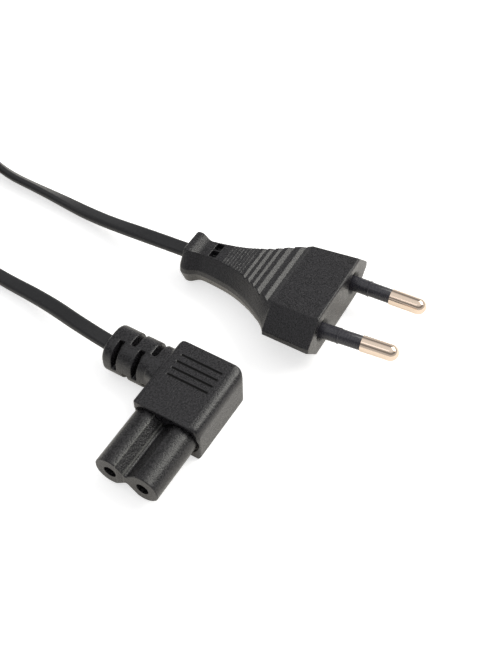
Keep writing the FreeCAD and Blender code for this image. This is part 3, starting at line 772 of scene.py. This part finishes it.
def metal_material(name, colour, rough, line_scale, depth, turn):
    # fine lines run round the part, as rolling or turning leaves them
    material, tree, shader = new_material(name)
    place = tree.nodes.new("ShaderNodeTexCoord")
    squared = tree.nodes.new("ShaderNodeMapping")
    feed(tree, squared.inputs["Vector"], place.outputs["Object"])
    feed(tree, squared.inputs["Rotation"], turn)
    feed(tree, squared.inputs["Scale"], line_scale)
    lines = tree.nodes.new("ShaderNodeTexNoise")
    feed(tree, lines.inputs["Vector"], squared.outputs["Vector"])
    feed(tree, lines.inputs["Scale"], 1.0)
    feed(tree, lines.inputs["Detail"], LINE_DETAIL)
    height = lines.outputs["Fac"]
    bump = tree.nodes.new("ShaderNodeBump")
    feed(tree, bump.inputs["Distance"], depth)
    feed(tree, bump.inputs["Height"], height)
    shaded = (*[part * LINE_SHADE for part in colour], 1.0)
    feed(tree, shader.inputs["Metallic"], 1.0)
    feed(tree, shader.inputs["Base Color"], blended(tree, height, shaded, (*colour, 1.0)))
    feed(tree, shader.inputs["Roughness"], ranged(tree, height, (0.0, 1.0), rough))
    feed(tree, shader.inputs["Normal"], bump.outputs["Normal"])
    return material


contact_brass = metal_material(
    "contact_brass", colour=(0.72, 0.53, 0.26), rough=(0.24, 0.4),
    line_scale=(900.0, 9000.0, 900.0), depth=0.000004, turn=(0.0, 0.0, 0.0))
for side in ("left", "right"):
    finish_node("socket_contact_" + side, contact_brass)


# Cores: one blue and one brown PVC insulation on stranded copper, at both ends of
# the lead, where the sheath has been stripped back inside the mouldings.
core_blue = moulded_material(
    "core_blue", dark=(0.012, 0.07, 0.33), pale=(0.02, 0.1, 0.42),
    rough=(0.35, 0.5), grain_scale=1800.0, depth=0.000005)
core_brown = moulded_material(
    "core_brown", dark=(0.10, 0.035, 0.014), pale=(0.15, 0.06, 0.025),
    rough=(0.35, 0.5), grain_scale=1800.0, depth=0.000005)
strand_copper = metal_material(
    "strand_copper", colour=(0.72, 0.36, 0.2), rough=(0.25, 0.45),
    line_scale=(5200.0, 5200.0, 900.0), depth=0.00003, turn=(0.0, 0.6, 0.5))
for end in ("connector", "plug"):
    finish_node(end + "_core_blue", core_blue)
    finish_node(end + "_core_brown", core_brown)
    finish_node(end + "_strand_blue", strand_copper)
    finish_node(end + "_strand_brown", strand_copper)


# Plug moulding: the same soft PVC as the connector, shot round the bridge with its
# pins and the cord. Six-sided block, ribbed waist, two windows and a flared collar;
# the rims of the two round recesses that the pins stand in are melted the most.
PLUG_PLACE = (0.02431, 0.04717, 0.00746405)
PLUG_TURN = (radians(-7.35), radians(-2.2), radians(4.4))
PLUG_VOXEL = 0.00014
PLUG_MELT = 3
PLUG_KEPT = 0.31
PIN_SPACING = 0.0186
PIN_LEAN = 1.658
RECESS_R = (0.0021, 0.0042)
RECESS_DEPTH = 0.0012
RECESS_MELT = 60


def in_plug(side):
    # place of a pin in the plug: its spacing and its lean, then the plug's own place
    sign = 1 if side == "left" else -1
    plug_at = Matrix.Translation(PLUG_PLACE) @ Euler(PLUG_TURN, "XYZ").to_matrix().to_4x4()
    lean = Matrix.Rotation(radians(-sign * PIN_LEAN), 4, "Z")
    return plug_at @ Matrix.Translation((0.0, sign * PIN_SPACING / 2, 0.0)) @ lean


def at_recess(side):
    # a test for the vertices of one pin's recess
    to_pin = in_plug(side).inverted()

    def chosen(co):
        here = to_pin @ co
        return here.x > -RECESS_DEPTH and RECESS_R[0] < here.yz.length < RECESS_R[1]

    return chosen


plug = softened("plug_body", "plug_moulding", PLUG_VOXEL, PLUG_MELT, PLUG_KEPT)
for side in ("left", "right"):
    relaxed_where(plug, at_recess(side), RECESS_MELT)
plug.data.materials.append(moulded_material(
    "plug_pvc", dark=(0.0022, 0.002, 0.0028), pale=(0.024, 0.0225, 0.0265),
    rough=(0.2, 0.42), grain_scale=2800.0, depth=0.00007, dust=0.003))
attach(plug, "root")
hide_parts("plug_body")


# Bridge that holds the two pins at their spacing inside the plug: dark hard
# thermoplastic, moulded on the pins before the soft body.
finish_node("plug_pin_bridge", moulded_material(
    "bridge_plastic", dark=(0.03, 0.03, 0.033), pale=(0.05, 0.05, 0.054),
    rough=(0.4, 0.6), grain_scale=2600.0, depth=0.00001, edge=0.0003))


# Plug pins: turned brass with bright nickel plate and domed tips, held by the bridge
# and bare only beyond their sleeves.
pin_nickel = metal_material(
    "pin_nickel", colour=(0.82, 0.67, 0.55), rough=(0.10, 0.18),
    line_scale=(9000.0, 700.0, 700.0), depth=0.000002, turn=PLUG_TURN)
for side in ("left", "right"):
    finish_node("plug_pin_" + side, pin_nickel)


# Sleeves on the pins: smoother black plastic than the body's, moulded on each pin, a
# shade thicker up to a small raised ring 4 mm out from the plug's face. The profile
# gives how far out along the pin, and the radius there.
SLEEVE_SIDES = 48
SLEEVE_BORE_R = 0.00151
SLEEVE_BORE_DEPTH = 0.0015
SLEEVE_PROFILE = [
    (-0.0024, 0.00192),
    (0.00400, 0.00190),
    (0.00412, 0.00199),
    (0.00438, 0.00199),
    (0.00452, 0.00182),
    (0.00975, 0.00179),
    (0.00992, 0.00172),
    (0.01000, 0.00160),
]


def numbered_by_place(piece):
    # extruding numbers the points and faces in another order in each run, so both
    # are put in the order of their places
    form = bmesh.new()
    form.from_mesh(piece.data)
    points = sorted(form.verts, key=lambda point: tuple(point.co))
    faces = sorted(form.faces, key=lambda face: tuple(face.calc_center_median()))
    for parts in (points, faces):
        for number, part in enumerate(parts):
            part.index = number
    form.verts.sort()
    form.faces.sort()
    form.to_mesh(piece.data)
    form.free()
    piece.data.update()


def sleeve_form(name):
    # a disc drawn out along its axis, each step scaled to the profile's radius, and
    # then turned in at the end, round the pin
    bpy.ops.object.select_all(action="DESELECT")
    start, radius = SLEEVE_PROFILE[0]
    bpy.ops.mesh.primitive_circle_add(vertices=SLEEVE_SIDES, radius=radius, fill_type="NGON")
    piece = bpy.context.object
    piece.name = name
    bpy.ops.object.mode_set(mode="EDIT")
    bpy.ops.mesh.select_all(action="SELECT")
    bpy.ops.transform.translate(value=(0.0, 0.0, start))
    for (here, r_here), (there, r_there) in zip(SLEEVE_PROFILE, SLEEVE_PROFILE[1:]):
        bpy.ops.mesh.extrude_region_move(TRANSFORM_OT_translate={"value": (0.0, 0.0, there - here)})
        share = r_there / r_here
        bpy.ops.transform.resize(value=(share, share, 1.0), center_override=(0.0, 0.0, there))
    end, radius = SLEEVE_PROFILE[-1]
    share = SLEEVE_BORE_R / radius
    bpy.ops.mesh.extrude_region_move()
    bpy.ops.transform.resize(value=(share, share, 1.0), center_override=(0.0, 0.0, end))
    bpy.ops.mesh.extrude_region_move(
        TRANSFORM_OT_translate={"value": (0.0, 0.0, -SLEEVE_BORE_DEPTH)})
    bpy.ops.object.mode_set(mode="OBJECT")
    outward_normals(piece)
    numbered_by_place(piece)
    return piece


sleeve_plastic = moulded_material(
    "sleeve_plastic", dark=(0.026, 0.025, 0.032), pale=(0.036, 0.035, 0.043),
    rough=(0.22, 0.32), grain_scale=2600.0, depth=0.000008)
sleeves = {}
for side in ("left", "right"):
    sleeve = sleeve_form("sleeve_" + side)
    sleeve.data.transform(in_plug(side) @ Matrix.Rotation(radians(90.0), 4, "Y"))
    sleeve.data.materials.append(sleeve_plastic)
    smooth(sleeve, angle=30)
    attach(sleeve, "root")
    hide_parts("pin_sleeve_" + side)
    sleeves[side] = sleeve


# The lead leaves the connector; the pieces that it carries are gathered in one list:
# the tie round its coil and the whole plug with what is inside it.
on_cord = [plug, tie, nodes_of["plug_pin_bridge"]]
for side in ("left", "right"):
    on_cord += [nodes_of["plug_pin_" + side], sleeves[side]]
for colour in ("blue", "brown"):
    on_cord += [nodes_of["plug_core_" + colour], nodes_of["plug_strand_" + colour]]
